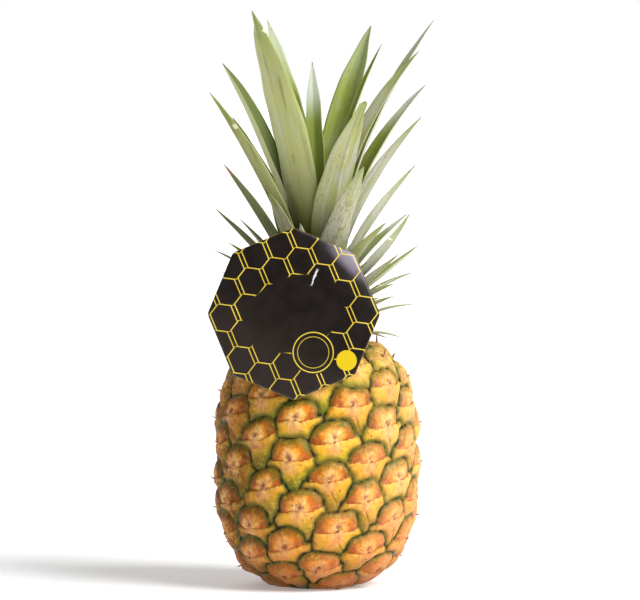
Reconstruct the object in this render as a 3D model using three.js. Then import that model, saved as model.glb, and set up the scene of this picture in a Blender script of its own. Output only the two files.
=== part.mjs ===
// A pineapple standing on its base, with its crown of leaves and a plain octagonal card tag.
// Millimetres, +Z up. The origin is the centre of the flat spot the fruit stands on, and -Y is its front.
import * as THREE from "three";

// ---- The fruit -----------------------------------------------------------------------------
const BODY = {
  radius: 60.4, // widest radius, between the crests and the furrows of the eyes
  widestHeight: 70,
  topHeight: 147,
  lower: { reach: 72.5, power: 2.5 }, // the half barrel below the widest height
  upper: { reach: 79, power: 3.2 }, // and the one above it
  turns: 84, // facets round the body
  rings: 34, // facets up its side
  fineSteps: 600, // steps up its side that lengths and areas are measured with
};
const EYES = {
  cellArea: 584, // skin that one eye covers, mm2
  divergence: THREE.MathUtils.degToRad(137.71), // turn from one eye to the next one up
  firstTurn: THREE.MathUtils.degToRad(210.3), // azimuth of the lowest eye
  firstCells: 1.05, // skin below the lowest eye, in eyes
  // How far each of the eight spiral rows has slipped: mm round the barrel, mm up it.
  rowSlip: [[0, 0], [-1.5, 1.5], [-2.5, -2.5], [-2, 5], [6, -2], [0, 0], [1, 1.5], [-1, 0.5]],
  crest: 1.5, // how far an eye stands out of the barrel
  furrow: 1.6, // and how deep the line between eyes lies
  fade: 12, // the relief dies away over this length at both ends
  slope: 0.55, // share of an eye's width over which it rises from the furrow
  reach: 60, // no eye further up or down than this can be the nearest
};
const CUT_STEM = { radius: 12.5, length: 9, chamfer: 0.8, turns: 32 }; // its cut end is flush with the flat spot
const GAP = 0.3; // clearance between pieces that touch

// ---- The crown -----------------------------------------------------------------------------
const CROWN_STEM = {
  bottom: BODY.topHeight + GAP,
  taperTop: 205, // the cone ends here, and a blunt point closes it
  shoulder: 207.8, // where the blunt point turns in
  top: 209,
  baseRadius: 17,
  topRadius: 3.6,
  shoulderShare: 0.6, // its radius at the shoulder, of that at the taper's top
  turns: 24,
};
const BLADE = {
  along: 8, // facets from base to tip
  baseThickness: 1.1,
  tipThickness: 0.5,
  marginShare: 0.35, // thickness left at the margins
  tipShare: 0.035, // width left at the tip
  baseShare: 0.6, // width at the stem
  folding: [0.1, 0.55], // the channel deepens between these shares of the length
  mostClasp: THREE.MathUtils.degToRad(38), // a blade never wraps further than this to each side
  wide: 13, // blades wider than this get four facets across, the others two
  widest: { perLength: 1 / 400, least: 0.15, most: 0.45 }, // longer blades are widest further up
  narrowing: { power: 1.9, ease: 0.9 }, // how the width falls off from there to the tip
};

// Each leaf: azimuth deg, height of its base on the stem, radius and height of its tip, greatest width,
// channel (how deep it is folded, in half widths), bow deg (how much the tip leans out past the chord),
// sway deg (how far its tip turns round the crown). Where two leaves stand one behind the other, the one
// that leans out more has the lower base, so no blade passes through another.
const LEAVES = [
  // small dry leaves lying on the shoulder
  [-12, 149.2, 50, 149.5, 7, 0.3, 22, 6],
  [28, 149.8, 46, 147.5, 8, 0.3, 20, -5],
  [76, 150.4, 47, 148.5, 8, 0.3, 18, 4],
  [121, 151.0, 45, 149.0, 8, 0.3, 18, 6],
  [165, 149.6, 48, 150.0, 7, 0.3, 16, -4],
  [208, 151.2, 46, 152.0, 8, 0.3, 14, 5],
  [251, 150.2, 40, 153.0, 8, 0.3, 10, 3],
  [-62, 151.8, 42, 150.0, 8, 0.3, 16, -4],
  // short leaves under the fan
  [-6, 154.0, 57.5, 169.0, 7, 0.4, 18, 3],
  [-33, 155.2, 56, 175.5, 11, 0.4, 10, -3],
  [42, 154.8, 55, 171.0, 10, 0.4, 12, 4],
  [92, 155.8, 52, 174.0, 11, 0.4, 10, -5],
  [137, 156.6, 55, 177.0, 11, 0.4, 12, 4],
  [179, 157.6, 57, 188.5, 10, 0.4, 10, 3],
  [226, 158.2, 45, 181.0, 12, 0.4, 4, 0],
  [270, 157.2, 40, 176.0, 12, 0.4, 4, 0],
  // middle leaves
  [6, 160.2, 57.5, 187.5, 10, 0.5, 14, 2],
  [-26, 161.4, 52, 182.5, 12, 0.5, 8, -3],
  [65, 162.0, 58, 203.0, 13, 0.4, 10, 4],
  [108, 162.8, 56, 206.0, 13, 0.4, 10, -4],
  [152, 163.4, 59, 205.0, 13, 0.5, 8, 3],
  [191, 164.4, 62.6, 202.0, 10, 0.5, 12, 2],
  [-50, 165.0, 46, 196.0, 12, 0.4, 4, 0],
  [246, 165.6, 43, 200.0, 12, 0.4, 4, 0],
  [20, 167.0, 65, 203.5, 11, 0.5, -5, 0],
  [-20, 168.2, 52, 199.5, 13, 0.5, -4, -2],
  [289, 168.8, 41, 203.0, 12, 0.3, 3, 0],
  // leaves that open at half height
  [84, 170.6, 60, 240.0, 15, 0.5, 6, 4],
  [126, 171.6, 58, 243.0, 15, 0.35, 6, -4],
  [194, 172.8, 62.6, 227.0, 12, 0.6, 2, 0],
  [163, 174.0, 48, 220.0, 10, 0.5, 4, 3],
  [-13, 174.6, 57, 224.0, 16, 0.6, -16, 0],
  [34, 175.6, 68, 222.0, 12, 0.4, 6, 2],
  [-43, 176.4, 56, 219.5, 15, 0.4, 4, 0],
  [256, 177.4, 41, 219.0, 10, 0.4, 4, 0],
  [204, 178.6, 61, 254.0, 14, 0.6, 3, 0],
  [228, 180.4, 44, 238.0, 17, 0.4, 2, 0],
  [-14, 180.8, 61, 253.5, 14, 0.6, 5, 0],
  [-63, 182.2, 54, 253.0, 21, 0.3, 2, 4],
  // tall leaves
  [149, 183.2, 62, 281.0, 19, 0.35, 6, -3],
  [73, 184.2, 60, 280.0, 16, 0.4, 7, -2],
  [112, 185.8, 58, 286.0, 17, 0.4, 8, 2],
  [-30, 186.2, 71.5, 282.0, 17, 0.45, 11, 0],
  [29, 187.8, 77, 300.5, 18, 0.4, 16, 2],
  [205, 188.6, 70, 296.0, 19, 0.45, 5, 0],
  [-66, 190.4, 54, 291.0, 27, 0.25, 5, 8],
  [20, 191.6, 75, 339.5, 12, 0.4, 12, 0],
  [155, 192.8, 63, 313.5, 22, 0.8, 6, 0],
  [-28, 194.4, 68, 320.5, 20, 0.4, 17, 0],
  [240, 196.4, 76, 344.0, 27, 0.3, 6, 0],
  [59, 197.8, 64, 336.5, 25, 0.35, 11, 0],
  [125, 199.6, 50, 339.5, 20, 0.3, 7, 2],
  [32, 200.8, 46, 325.0, 9, 0.5, 12, 0],
  [97, 202.6, 24, 314.5, 16, 0.3, 3, 0],
];

// ---- The tag -------------------------------------------------------------------------------
const TAG = {
  acrossFlats: 94,
  cornerRadius: 4,
  thickness: 0.6,
  centre: new THREE.Vector3(-13.6, -54.6, 166.4),
  leanBack: THREE.MathUtils.degToRad(7),
  roll: THREE.MathUtils.degToRad(22.5),
  bow: 2.2, // how far the card's left and right edges fall back
  curl: 4, // how much further its upper right corner falls back
  curlStart: 0.35, // share of the card's half width where that corner starts to bend
  turns: 48,
  rings: 4,
};

const MATERIALS = {
  skin: new THREE.MeshStandardMaterial({ color: 0xd9992f, roughness: 0.5, metalness: 0 }),
  cutStem: new THREE.MeshStandardMaterial({ color: 0xb59a6a, roughness: 0.9, metalness: 0 }),
  crownStem: new THREE.MeshStandardMaterial({ color: 0xcfc9a0, roughness: 0.8, metalness: 0 }),
  leaf: new THREE.MeshStandardMaterial({ color: 0x7d8f5a, roughness: 0.65, metalness: 0 }),
  card: new THREE.MeshStandardMaterial({ color: 0x2a211c, roughness: 0.35, metalness: 0 }),
};

// LatheGeometry turns about Y; the part's axis is Z.
function turned(profile, segments) {
  const lathe = new THREE.LatheGeometry(profile, segments);
  return lathe.rotateX(Math.PI / 2);
}

// Radius of the barrel at a height, a superellipse with its own reach and power on each side.
function bodyRadius(height) {
  const half = height < BODY.widestHeight ? BODY.lower : BODY.upper;
  const share = Math.abs(height - BODY.widestHeight) / half.reach;
  return BODY.radius * (1 - share ** half.power) ** (1 / half.power);
}

// The barrel's side from the flat spot to the top, cut into steps of equal length.
function sideOfBody(steps) {
  const line = new THREE.Path();
  for (let i = 0; i <= BODY.fineSteps; i++) {
    // a cosine spacing puts the points where the outline turns fastest
    const height = (BODY.topHeight * (1 - Math.cos((Math.PI * i) / BODY.fineSteps))) / 2;
    const radius = bodyRadius(height);
    if (i) line.lineTo(radius, height);
    else line.moveTo(radius, height);
  }
  return line.getSpacedPoints(steps);
}

// Eyes climb the barrel in one spiral, each covering the same area of skin.
function eyesOfBody() {
  const side = sideOfBody(BODY.fineSteps);
  const eyes = [];
  let covered = EYES.cellArea * (1 - EYES.firstCells);
  let length = 0;
  for (let i = 1; i <= BODY.fineSteps; i++) {
    const step = side[i].distanceTo(side[i - 1]);
    length += step;
    covered += 2 * Math.PI * side[i].x * step;
    if (covered >= EYES.cellArea) {
      covered -= EYES.cellArea;
      const [round, up] = EYES.rowSlip[eyes.length % EYES.rowSlip.length];
      const turn = EYES.firstTurn - eyes.length * EYES.divergence + round / BODY.radius;
      eyes.push({ turn, length: length + up, radius: side[i].x });
    }
  }
  return { eyes, length };
}

// Height of the relief over the barrel: a crest at each eye and a furrow half way to the next one.
function reliefAt(turn, along, skin) {
  let nearest = Infinity;
  let second = Infinity;
  for (const eye of skin.eyes) {
    const up = along - eye.length;
    if (Math.abs(up) > EYES.reach) continue;
    const wrapped = Math.atan2(Math.sin(turn - eye.turn), Math.cos(turn - eye.turn));
    const distance = Math.hypot(wrapped * eye.radius, up);
    if (distance < nearest) [nearest, second] = [distance, nearest];
    else if (distance < second) second = distance;
  }
  const edge = THREE.MathUtils.smoothstep(second - nearest, 0, Math.sqrt(EYES.cellArea) * EYES.slope);
  const ends = THREE.MathUtils.smoothstep(Math.min(along, skin.length - along), 0, EYES.fade);
  return ends * (edge * (EYES.crest + EYES.furrow) - EYES.furrow);
}

function fruitGeometry() {
  const side = sideOfBody(BODY.rings);
  const skin = eyesOfBody();
  const socket = CUT_STEM.radius + GAP;
  const socketTop = CUT_STEM.length + GAP;
  const underside = [new THREE.Vector2(0, socketTop), new THREE.Vector2(socket, socketTop), new THREE.Vector2(socket, 0)];
  const profile = [...underside, ...side, new THREE.Vector2(0, BODY.topHeight)];
  const geometry = turned(profile, BODY.turns);
  const position = geometry.attributes.position;
  const stepLength = skin.length / BODY.rings;
  const perTurn = profile.length;
  for (let i = 0; i < position.count; i++) {
    const ring = (i % perTurn) - underside.length;
    if (ring < 0 || ring > BODY.rings) continue;
    const turn = Math.atan2(position.getY(i), position.getX(i));
    const relief = reliefAt(turn, ring * stepLength, skin);
    const before = side[Math.max(ring - 1, 0)];
    const after = side[Math.min(ring + 1, BODY.rings)];
    const slope = Math.atan2(after.x - before.x, after.y - before.y);
    const radius = side[ring].x + relief * Math.cos(slope);
    position.setXYZ(i, radius * Math.cos(turn), radius * Math.sin(turn), side[ring].y - relief * Math.sin(slope));
  }
  return geometry;
}

function cutStemGeometry() {
  const { radius, length, chamfer, turns } = CUT_STEM;
  const outline = [
    new THREE.Vector2(0, 0),
    new THREE.Vector2(radius - chamfer, 0),
    new THREE.Vector2(radius, chamfer),
    new THREE.Vector2(radius, length),
    new THREE.Vector2(0, length),
  ];
  return turned(outline, turns);
}

function stemRadius(height) {
  const { bottom, taperTop, baseRadius, topRadius } = CROWN_STEM;
  return THREE.MathUtils.mapLinear(height, bottom, taperTop, baseRadius, topRadius);
}

function crownStemGeometry() {
  const { bottom, taperTop, shoulder, top, shoulderShare, turns } = CROWN_STEM;
  const outline = [
    new THREE.Vector2(0, bottom),
    new THREE.Vector2(stemRadius(bottom), bottom),
    new THREE.Vector2(stemRadius(taperTop), taperTop),
    new THREE.Vector2(stemRadius(taperTop) * shoulderShare, shoulder),
    new THREE.Vector2(0, top),
  ];
  return turned(outline, turns);
}

// A leaf's midline in its own radial plane: x is the distance from the crown's axis, y the height.
function midlineOf([, base, tipRadius, tipHeight, , , bow]) {
  const start = new THREE.Vector2(stemRadius(base) + GAP + BLADE.baseThickness, base);
  const end = new THREE.Vector2(tipRadius, tipHeight);
  const chord = end.clone().sub(start);
  const lean = Math.atan2(chord.x, chord.y);
  const bend = THREE.MathUtils.degToRad(bow);
  const reach = chord.length() / 3;
  const heading = (angle) => new THREE.Vector2(Math.sin(angle), Math.cos(angle)).multiplyScalar(reach);
  return new THREE.CubicBezierCurve(
    start,
    start.clone().add(heading(lean - bend)),
    end.clone().sub(heading(lean + bend)),
    end,
  );
}

// Share of a blade's greatest width at a place along it: tall blades are widest near half way up.
function widthShare(along, widest) {
  if (along < widest) {
    return BLADE.baseShare + (1 - BLADE.baseShare) * Math.sin((Math.PI / 2) * (along / widest));
  }
  const rest = (along - widest) / (1 - widest);
  const { power, ease } = BLADE.narrowing;
  return BLADE.tipShare + (1 - BLADE.tipShare) * (1 - rest ** power) ** ease;
}

// A blade is a box bent onto its midline: its width wraps round the crown's axis, so that blades nest.
function bladeGeometry(leaf) {
  const [azimuth, , , , width, channel, , sway] = leaf;
  const midline = midlineOf(leaf);
  const length = midline.getLength();
  const { perLength, least, most } = BLADE.widest;
  const widest = THREE.MathUtils.clamp(length * perLength, least, most);
  const blade = new THREE.BoxGeometry(2, 2, 1, width > BLADE.wide ? 4 : 2, 1, BLADE.along);
  const position = blade.attributes.position;
  const point = new THREE.Vector2();
  const tangent = new THREE.Vector2();
  for (let i = 0; i < position.count; i++) {
    const side = position.getX(i);
    const face = position.getY(i);
    const along = position.getZ(i) + 0.5;
    midline.getPoint(along, point);
    midline.getTangent(along, tangent);
    const half = (widthShare(along, widest) * width) / 2;
    const thickness = THREE.MathUtils.lerp(BLADE.baseThickness, BLADE.tipThickness, along);
    const thick = thickness * THREE.MathUtils.lerp(1, BLADE.marginShare, side * side);
    const fold = channel * half * side * side * THREE.MathUtils.smoothstep(along, ...BLADE.folding);
    const lift = (face * thick) / 2 + fold;
    const radius = point.x - tangent.y * lift;
    const height = point.y + tangent.x * lift;
    const wrap = Math.min(half / point.x, BLADE.mostClasp) * side;
    const turn = THREE.MathUtils.degToRad(azimuth + sway * along * along) + wrap;
    position.setXYZ(i, radius * Math.cos(turn), radius * Math.sin(turn), height);
  }
  return blade;
}

// Distance from the middle of an octagon with rounded corners to its edge, at an angle from a flat's middle.
function octagonEdge(angle) {
  const flat = TAG.acrossFlats / 2;
  const sector = Math.PI / 4;
  const folded = Math.abs(((angle % sector) + sector * 1.5) % sector - sector / 2);
  const straight = flat / Math.cos(folded);
  const cornerCentre = (flat - TAG.cornerRadius) / Math.cos(sector / 2);
  const toCorner = sector / 2 - folded;
  const across = cornerCentre * Math.sin(toCorner);
  if (across >= TAG.cornerRadius * Math.sin(sector / 2)) return straight;
  return cornerCentre * Math.cos(toCorner) + Math.sqrt(TAG.cornerRadius ** 2 - across ** 2);
}

// The tag is a thin disc whose rim follows the octagon, bowed over the fruit and leaves behind it.
function tagGeometry() {
  const profile = [];
  for (let i = 0; i <= TAG.rings; i++) profile.push(new THREE.Vector2(i / TAG.rings, 0));
  for (let i = TAG.rings; i >= 0; i--) profile.push(new THREE.Vector2(i / TAG.rings, TAG.thickness));
  const disc = turned(profile, TAG.turns);
  const position = disc.attributes.position;
  const half = TAG.acrossFlats / 2;
  for (let i = 0; i < position.count; i++) {
    const share = Math.hypot(position.getX(i), position.getY(i));
    const angle = Math.atan2(position.getY(i), position.getX(i));
    const reach = share * octagonEdge(angle);
    const right = reach * Math.cos(angle + TAG.roll);
    const up = reach * Math.sin(angle + TAG.roll);
    const corner = Math.max(0, (right + up) / Math.SQRT2 / half - TAG.curlStart);
    const back = TAG.bow * (right / half) ** 2 + TAG.curl * (corner / (1 - TAG.curlStart)) ** 2;
    // Faces +Z while flat; it is stood up to face -Y afterwards.
    position.setXYZ(i, right, up, position.getZ(i) - back);
  }
  return disc.rotateX(Math.PI / 2 - TAG.leanBack);
}

function named(name, geometry, material) {
  const mesh = new THREE.Mesh(geometry, material);
  mesh.name = name;
  return mesh;
}

const pineapple = new THREE.Group();
pineapple.add(named("fruit", fruitGeometry(), MATERIALS.skin));
pineapple.add(named("cut_stem", cutStemGeometry(), MATERIALS.cutStem));

const crown = new THREE.Group();
crown.add(named("crown_stem", crownStemGeometry(), MATERIALS.crownStem));
LEAVES.forEach((leaf, i) => {
  const number = String(i + 1).padStart(2, "0");
  crown.add(named("crown_leaf_" + number, bladeGeometry(leaf), MATERIALS.leaf));
});
pineapple.add(crown);

const tag = named("tag", tagGeometry(), MATERIALS.card);
tag.position.copy(TAG.centre);
pineapple.add(tag);

export default pineapple;
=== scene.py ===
# %% [markdown]
# # A pineapple with its crown and a card tag
#
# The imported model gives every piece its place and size: one fruit, the cut end of its stalk, the stem
# of the crown, fifty-four leaves and a card tag. It is faceted. This file gives each piece the fine
# surface that it has in the hand. A lesson like this goes from the outside in: first the camera, the
# floor and the light, then a few helpers, then the finishes, then the pieces one after another.

# %% Load the frame
import bpy
import numpy as np
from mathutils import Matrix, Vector
from mathutils.kdtree import KDTree


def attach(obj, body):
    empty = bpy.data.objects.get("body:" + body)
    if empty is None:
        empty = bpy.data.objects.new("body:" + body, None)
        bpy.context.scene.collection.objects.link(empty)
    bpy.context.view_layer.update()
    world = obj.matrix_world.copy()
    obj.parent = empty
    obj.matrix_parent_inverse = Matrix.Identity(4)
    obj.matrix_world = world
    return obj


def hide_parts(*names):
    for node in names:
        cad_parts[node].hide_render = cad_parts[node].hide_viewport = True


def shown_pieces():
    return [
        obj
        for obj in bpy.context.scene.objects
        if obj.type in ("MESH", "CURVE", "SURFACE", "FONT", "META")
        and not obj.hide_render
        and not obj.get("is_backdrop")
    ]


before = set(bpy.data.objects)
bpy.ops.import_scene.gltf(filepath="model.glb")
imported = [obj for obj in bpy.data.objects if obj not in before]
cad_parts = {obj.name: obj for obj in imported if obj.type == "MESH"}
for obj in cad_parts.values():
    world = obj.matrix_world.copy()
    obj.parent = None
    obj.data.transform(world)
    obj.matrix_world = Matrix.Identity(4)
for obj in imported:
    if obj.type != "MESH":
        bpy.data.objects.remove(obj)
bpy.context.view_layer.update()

MM = 0.001
LEAF_NODES = sorted(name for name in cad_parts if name.startswith("crown_leaf_"))
print(len(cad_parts), "pieces,", len(LEAF_NODES), "of them leaves")

# %% [markdown]
# ## Camera
#
# The camera looks from a little above the fruit's middle through a long lens, so that the fruit isn't
# swollen and the leaves behind aren't small. The lens follows from the distance and from
# how much should be seen at the fruit's axis.

# %% Camera
VIEW_DISTANCE = 2.60
VIEW_WIDTH = 0.384
VIEW_ELEVATION = np.radians(3.0)
VIEW_TARGET = Vector((0.0018, 0.0, 0.1716))


def make_camera():
    """The lens, aimed straight to the back and a little down."""
    lens = bpy.data.cameras.new("camera")
    lens.lens = lens.sensor_width * VIEW_DISTANCE / VIEW_WIDTH
    camera = bpy.data.objects.new("camera", lens)
    bpy.context.scene.collection.objects.link(camera)
    away = Vector((0, -np.cos(VIEW_ELEVATION), np.sin(VIEW_ELEVATION)))
    camera.location = VIEW_TARGET + VIEW_DISTANCE * away
    camera.rotation_euler = (np.pi / 2 - VIEW_ELEVATION, 0, 0)
    bpy.context.scene.camera = camera
    return camera


print("lens", round(make_camera().data.lens, 1), "mm")

# %% [markdown]
# ## Floor and light
#
# The studio is a white table under a white tent. A sky of one pale tone lights every side, a large
# soft lamp high on the right makes the form, and a weak one behind keeps the back from going dull.
# The table glows a little by itself, as opal glass lit from below does, which keeps shadows faint.

# %% Floor and light
FLOOR_RADIUS = 40.0
FLOOR_SIDES = 96
SKY = 0.25
KEY = {"strength": 4.0, "spread": 34, "elevation": 38, "turn": 57}
BACK = {"strength": 0.5, "spread": 50, "elevation": 45, "turn": 200}
TABLE_GLOW = 0.26


def make_sky():
    """A pale even sky for the light, and plain white where the camera sees past the floor."""
    world = bpy.data.worlds.new("sky")
    world.use_nodes = True
    tree = world.node_tree
    sky = tree.nodes["Background"]
    sky.inputs["Strength"].default_value = SKY
    sky.inputs["Color"].default_value = (1, 1, 1, 1)
    seen = tree.nodes.new("ShaderNodeBackground")
    seen.inputs["Color"].default_value = (1, 1, 1, 1)
    choose = tree.nodes.new("ShaderNodeMixShader")
    tree.links.new(tree.nodes.new("ShaderNodeLightPath").outputs["Is Camera Ray"], choose.inputs[0])
    tree.links.new(sky.outputs[0], choose.inputs[1])
    tree.links.new(seen.outputs[0], choose.inputs[2])
    tree.links.new(choose.outputs[0], tree.nodes["World Output"].inputs["Surface"])
    bpy.context.scene.world = world


def make_lamp(name, strength, spread, elevation, turn):
    """A far lamp; turn is counted from straight in front, towards the right."""
    lamp = bpy.data.lights.new(name, "SUN")
    lamp.energy = strength
    lamp.angle = np.radians(spread)
    holder = bpy.data.objects.new(name, lamp)
    holder.rotation_euler = (np.radians(90 - elevation), 0, np.radians(turn))
    bpy.context.scene.collection.objects.link(holder)


make_sky()
make_lamp("key", **KEY)
make_lamp("back", **BACK)
bpy.context.scene.view_settings.view_transform = "Standard"
print("sky", SKY, "key", KEY["strength"], "back", BACK["strength"])

# %% [markdown]
# ## Helpers for meshes
#
# Every piece is made the same way: a grid of points is worked out with numpy, the grid's cells become
# faces, and what the finish needs to know about each point is stored beside it as an attribute. All
# lengths here are in millimetres and become metres when a mesh is made.

# %% Helpers for meshes
def make_piece(name, points, faces, material, values=None, vectors=None):
    """A closed mesh in the row frame, with its attributes and finish, riding on the part's one body."""
    mesh = bpy.data.meshes.new(name)
    mesh.from_pydata((np.asarray(points) * MM).tolist(), [], faces)
    for key, data in (values or {}).items():
        mesh.attributes.new(key, "FLOAT", "POINT").data.foreach_set("value", np.ravel(data))
    for key, data in (vectors or {}).items():
        mesh.attributes.new(key, "FLOAT_VECTOR", "POINT").data.foreach_set("vector", np.ravel(data))
    mesh.materials.append(material)
    mesh.shade_smooth()
    mesh.update()
    piece = bpy.data.objects.new(name, mesh)
    bpy.context.scene.collection.objects.link(piece)
    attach(piece, "root")
    return piece


def ring_faces(rings, around):
    """Faces between rings of points that follow each other, each a closed loop, and a cap on both ends."""
    index = np.arange(rings * around).reshape(rings, around)
    after = np.roll(index, -1, axis=1)
    quads = np.stack([index[:-1], after[:-1], after[1:], index[1:]], axis=-1).reshape(-1, 4).tolist()
    return quads + [index[0][::-1].tolist(), index[-1].tolist()]


def unit(vectors):
    """The vectors at length 1."""
    return vectors / np.maximum(np.linalg.norm(vectors, axis=-1, keepdims=True), 1e-9)


def smoothstep(low, high, value):
    """0 up to low, 1 from high on, eased between them."""
    share = np.clip((value - low) / (high - low), 0, 1)
    return share * share * (3 - 2 * share)


def ripple(seed, turn, length, reach, waves=14):
    """A gentle random wave over a surface that closes round the axis, about -1 to 1."""
    rng = np.random.default_rng(seed)
    total = np.zeros(np.broadcast(turn, length).shape)
    for _ in range(waves):
        around = rng.integers(-reach, reach + 1)
        up = rng.uniform(-reach, reach) / 60
        total += np.sin(around * turn + up * length + rng.uniform(0, 2 * np.pi))
    return total / np.sqrt(waves)


def node_points(name):
    """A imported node's points in millimetres."""
    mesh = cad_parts[name].data
    points = np.zeros(len(mesh.vertices) * 3)
    mesh.vertices.foreach_get("co", points)
    return points.reshape(-1, 3) / MM


print("fruit points in the frame:", len(node_points("fruit")))

# %% [markdown]
# ## Helpers for finishes
#
# A finish is a little graph of nodes. The class below only saves typing: each method adds one node,
# links or sets its inputs and hands back its output. Colours are given the way a paint chart gives them
# and are changed to the renderer's linear light.

# %% Helpers for finishes
def tone(red, green, blue):
    """A colour from a paint chart, in linear light."""
    linear = [c / 12.92 if c <= 0.04045 else ((c + 0.055) / 1.055) ** 2.4 for c in (red, green, blue)]
    return (*linear, 1.0)


class Graph:
    """Adds nodes to a tree, one method for each kind."""

    def __init__(self, tree):
        self.tree = tree

    def add(self, kind, **settings):
        """A new node, with its settings."""
        node = self.tree.nodes.new(kind)
        for key, value in settings.items():
            setattr(node, key, value)
        return node

    def feed(self, value, socket):
        """Link an output to a socket, or store a plain value in it."""
        if isinstance(value, bpy.types.NodeSocket):
            self.tree.links.new(value, socket)
        else:
            socket.default_value = value

    def maths(self, operation, *values):
        """One Math node."""
        node = self.add("ShaderNodeMath", operation=operation)
        for value, socket in zip(values, node.inputs):
            self.feed(value, socket)
        return node.outputs[0]

    def times(self, first, second):
        """Product of two values."""
        return self.maths("MULTIPLY", first, second)

    def plus(self, first, second):
        """Sum of two values."""
        return self.maths("ADD", first, second)

    def minus(self, first, second):
        """First value less the second."""
        return self.maths("SUBTRACT", first, second)

    def mix(self, share, first, second):
        """Blend of two colours: share 0 is the first, 1 the second."""
        node = self.add("ShaderNodeMix", data_type="RGBA", blend_type="MIX")
        self.feed(share, node.inputs[0])
        self.feed(first, node.inputs[6])
        self.feed(second, node.inputs[7])
        return node.outputs[2]

    def between(self, value, low, high, start=0.0, end=1.0):
        """value from low to high becomes start to end, eased at both ends."""
        node = self.add("ShaderNodeMapRange", interpolation_type="SMOOTHSTEP")
        for item, socket in zip((value, low, high, start, end), node.inputs):
            self.feed(item, socket)
        return node.outputs[0]

    def ramp(self, value, *stops):
        """A colour looked up from stops of (place, colour)."""
        node = self.add("ShaderNodeValToRGB")
        band = node.color_ramp
        while len(band.elements) < len(stops):
            band.elements.new(0.5)
        for element, (place, colour) in zip(band.elements, stops):
            element.position = place
            element.color = colour
        self.feed(value, node.inputs[0])
        return node.outputs[0]

    def value(self, name):
        """A number stored on the points."""
        return self.add("ShaderNodeAttribute", attribute_name=name).outputs["Fac"]

    def vector(self, name):
        """A vector stored on the points."""
        return self.add("ShaderNodeAttribute", attribute_name=name).outputs["Vector"]

    def split(self, vector):
        """The three parts of a vector."""
        node = self.add("ShaderNodeSeparateXYZ")
        self.feed(vector, node.inputs[0])
        return node.outputs

    def join(self, x, y, z):
        """A vector from its three parts."""
        node = self.add("ShaderNodeCombineXYZ")
        for value, socket in zip((x, y, z), node.inputs):
            self.feed(value, socket)
        return node.outputs[0]

    def stretch(self, vector, scale):
        """A vector scaled part by part."""
        node = self.add("ShaderNodeVectorMath", operation="MULTIPLY")
        self.feed(vector, node.inputs[0])
        self.feed(scale, node.inputs[1])
        return node.outputs[0]

    def noise(self, vector, scale, detail=2.0, rough=0.5):
        """Soft noise, about 0.5 in the middle."""
        node = self.add("ShaderNodeTexNoise")
        self.feed(vector, node.inputs["Vector"])
        self.feed(scale, node.inputs["Scale"])
        node.inputs["Detail"].default_value = detail
        node.inputs["Roughness"].default_value = rough
        return node.outputs[0]

    def cells(self, vector, scale):
        """Distance to the nearest of many scattered points."""
        node = self.add("ShaderNodeTexVoronoi")
        self.feed(vector, node.inputs["Vector"])
        self.feed(scale, node.inputs["Scale"])
        return node.outputs["Distance"]

    def use(self, group, **inputs):
        """A shared node group, fed by name."""
        node = self.add("ShaderNodeGroup", node_tree=group)
        for key, value in inputs.items():
            self.feed(value, node.inputs[key])
        return node.outputs[0]

    def bump(self, height, strength, distance):
        """A normal tilted by height, its distance in mm."""
        node = self.add("ShaderNodeBump")
        node.inputs["Strength"].default_value = strength
        node.inputs["Distance"].default_value = distance * MM
        self.feed(height, node.inputs["Height"])
        return node.outputs[0]

    def place_mm(self):
        """Where the surface is, in millimetres."""
        return self.stretch(self.add("ShaderNodeNewGeometry").outputs["Position"], (1 / MM, 1 / MM, 1 / MM))


def new_material(name):
    """A material with an empty graph and its Principled node."""
    material = bpy.data.materials.new(name)
    material.use_nodes = True
    shader = material.node_tree.nodes["Principled BSDF"]
    return material, Graph(material.node_tree), shader


def new_group(name, inputs, output):
    """A shared node group: its graph, its inputs and the node that takes its one output."""
    group = bpy.data.node_groups.new(name, "ShaderNodeTree")
    for key, kind, default in inputs:
        socket = group.interface.new_socket(key, in_out="INPUT", socket_type=kind)
        if default is not None:
            socket.default_value = default
    group.interface.new_socket(output, in_out="OUTPUT", socket_type="NodeSocketFloat")
    graph = Graph(group)
    source = graph.add("NodeGroupInput")
    sink = graph.add("NodeGroupOutput")
    return group, graph, source.outputs, sink.inputs[0]


print("gold is", [round(c, 3) for c in tone(0.95, 0.76, 0.25)])

# %% [markdown]
# ## Shared effects
#
# Three things happen on more than one piece of the plant. Fibres run the length of leaves and stems.
# Mottle is the slow drift of tone that nothing grown is without. Flecks are the small dry spots that
# handling leaves on leaves and on skin.

# %% Shared effects
PLACE = ("Place", "NodeSocketVector", None)


def make_fibres():
    """Streaks along the second axis of Place, 0 to 1; Count is how many fit a millimetre of the first."""
    group, g, given, result = new_group("fibres", [PLACE, ("Count", "NodeSocketFloat", 1.0)], "Streak")
    across, along, layer = g.split(given["Place"])
    lane = g.times(across, given["Count"])
    coarse = g.noise(g.join(lane, g.times(along, 0.012), layer), 1.0, 2.0, 0.6)
    fine_lane = g.times(lane, 2.7)
    fine = g.noise(g.join(fine_lane, g.times(along, 0.03), layer), 1.0, 2.0, 0.6)
    both = g.plus(g.times(coarse, 0.6), g.times(fine, 0.4))
    g.feed(g.between(both, 0.32, 0.68), result)
    return group


def make_mottle():
    """Slow patches, 0 to 1, about Size millimetres across."""
    group, g, given, result = new_group("mottle", [PLACE, ("Size", "NodeSocketFloat", 10.0)], "Patch")
    scale = g.maths("DIVIDE", 1.0, given["Size"])
    g.feed(g.between(g.noise(given["Place"], scale, 4.0, 0.6), 0.3, 0.7), result)
    return group


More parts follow.
